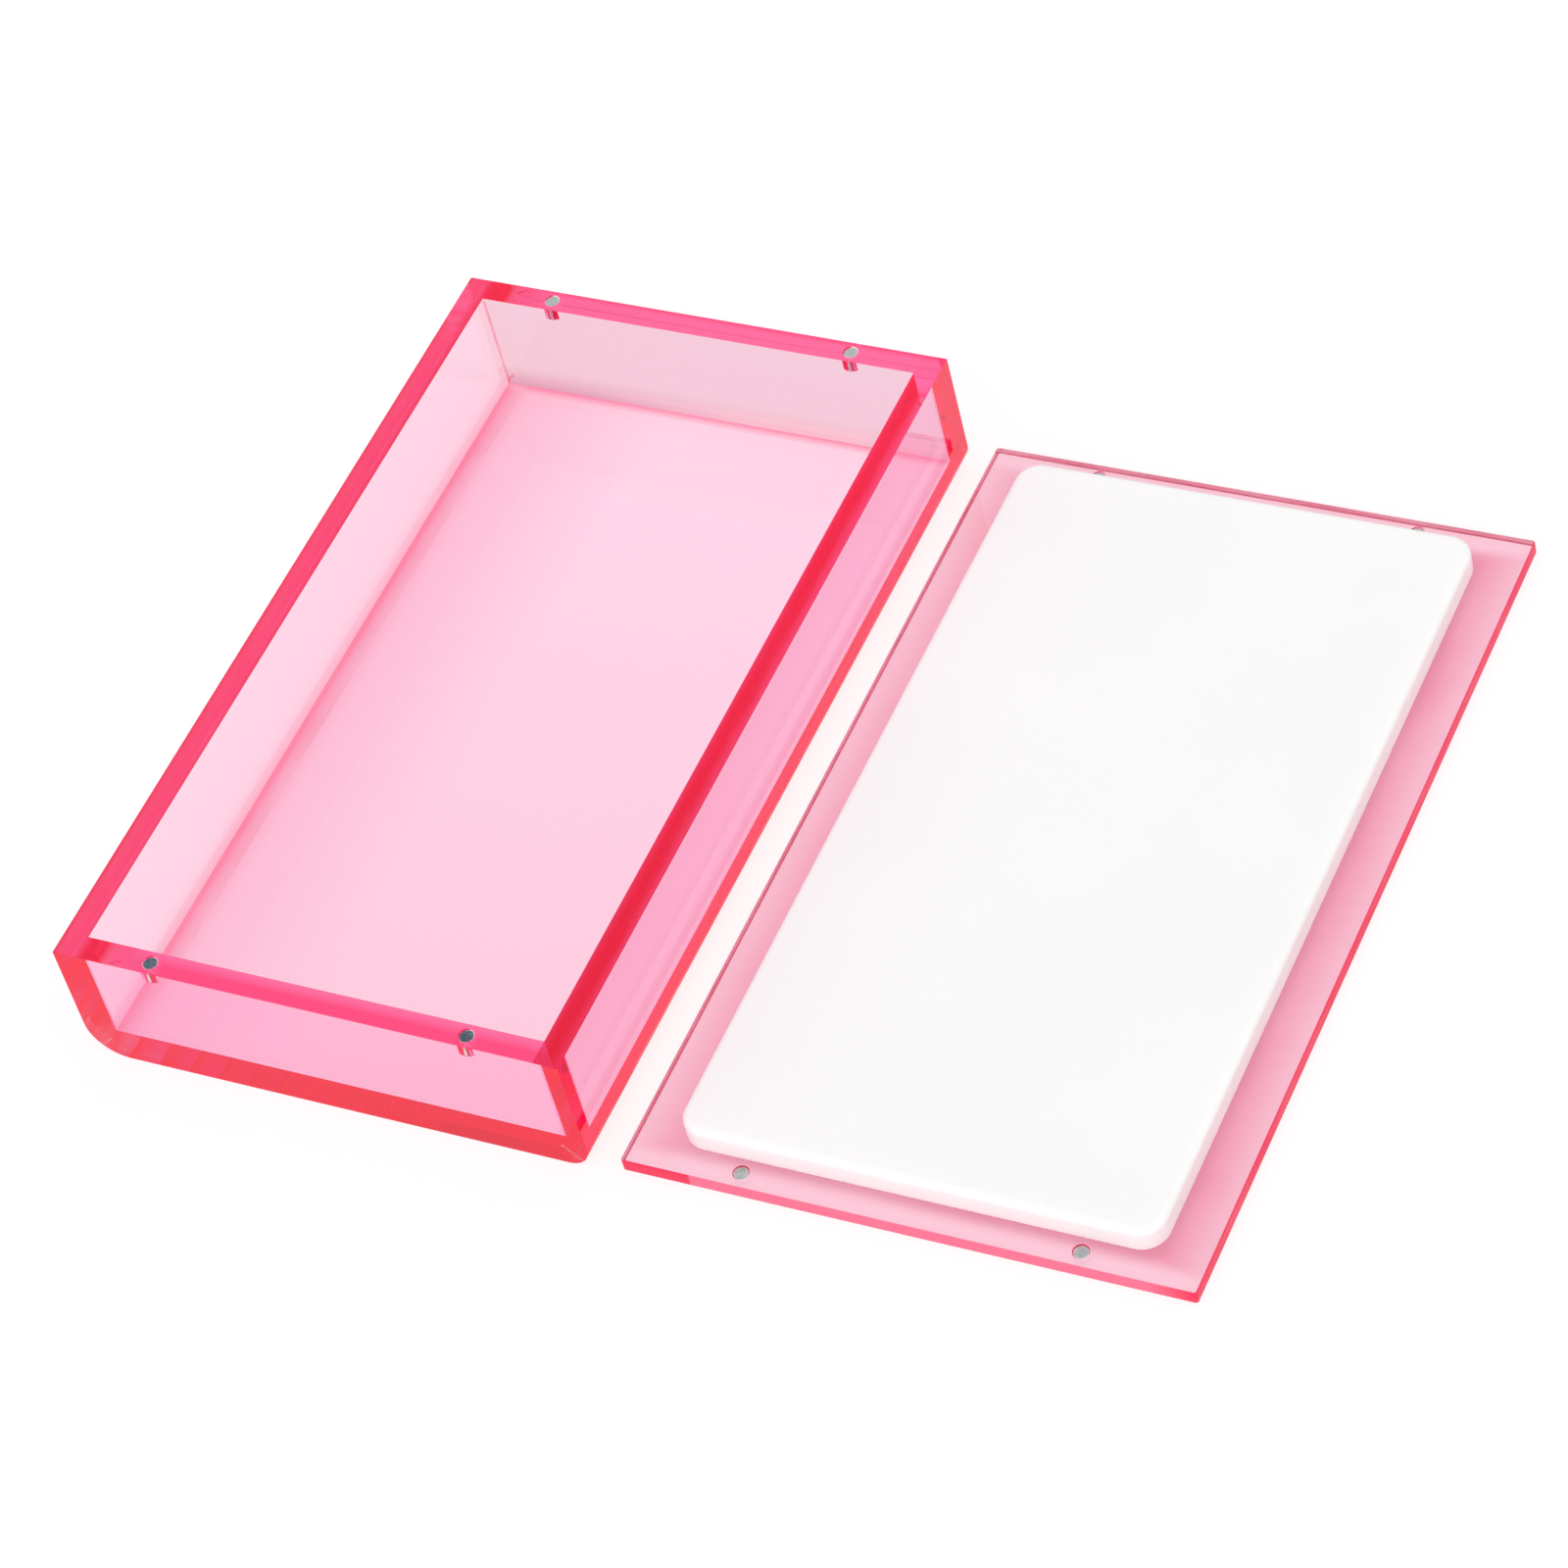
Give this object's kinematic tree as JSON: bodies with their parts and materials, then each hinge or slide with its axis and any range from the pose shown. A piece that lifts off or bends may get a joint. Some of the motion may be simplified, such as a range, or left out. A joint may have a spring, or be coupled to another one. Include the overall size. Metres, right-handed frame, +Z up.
{
  "type": "eyelash storage box",
  "caption": "Shallow clear pink acrylic tray with a flat magnetic lid; the lid carries a white silicone pad and lies turned over beside the tray.",
  "frame": {"origin": "centre of the tray's underside, on the surface that the box stands on", "axes": "+X across the tray towards the lid, +Y along the tray away from its front short wall, +Z up"},
  "size_m": [0.2193, 0.1816, 0.0285],
  "materials": {
    "tray_acrylic": "polished clear pink acrylic sheet, 5 mm",
    "lid_acrylic": "polished clear pink acrylic sheet, 2.8 mm",
    "pad_silicone": "matt white silicone",
    "magnet_nickel": "bright nickel plating"
  },
  "bodies": {
    "tray": {"tray_floor": "tray_acrylic", "tray_wall_left": "tray_acrylic", "tray_wall_right": "tray_acrylic", "tray_wall_front": "tray_acrylic", "tray_wall_back": "tray_acrylic", "tray_magnet_front_left": "magnet_nickel", "tray_magnet_front_right": "magnet_nickel", "tray_magnet_back_left": "magnet_nickel", "tray_magnet_back_right": "magnet_nickel"},
    "lid": {"lid_plate": "lid_acrylic", "lid_pad": "pad_silicone", "lid_magnet_front_left": "magnet_nickel", "lid_magnet_front_right": "magnet_nickel", "lid_magnet_back_left": "magnet_nickel", "lid_magnet_back_right": "magnet_nickel"}
  },
  "joints": [
    {"name": "lid_lift", "type": "slide", "parent": "tray", "child": "lid", "axis": [0, 0, 1], "range_m": [0, 0.06]}
  ]
}
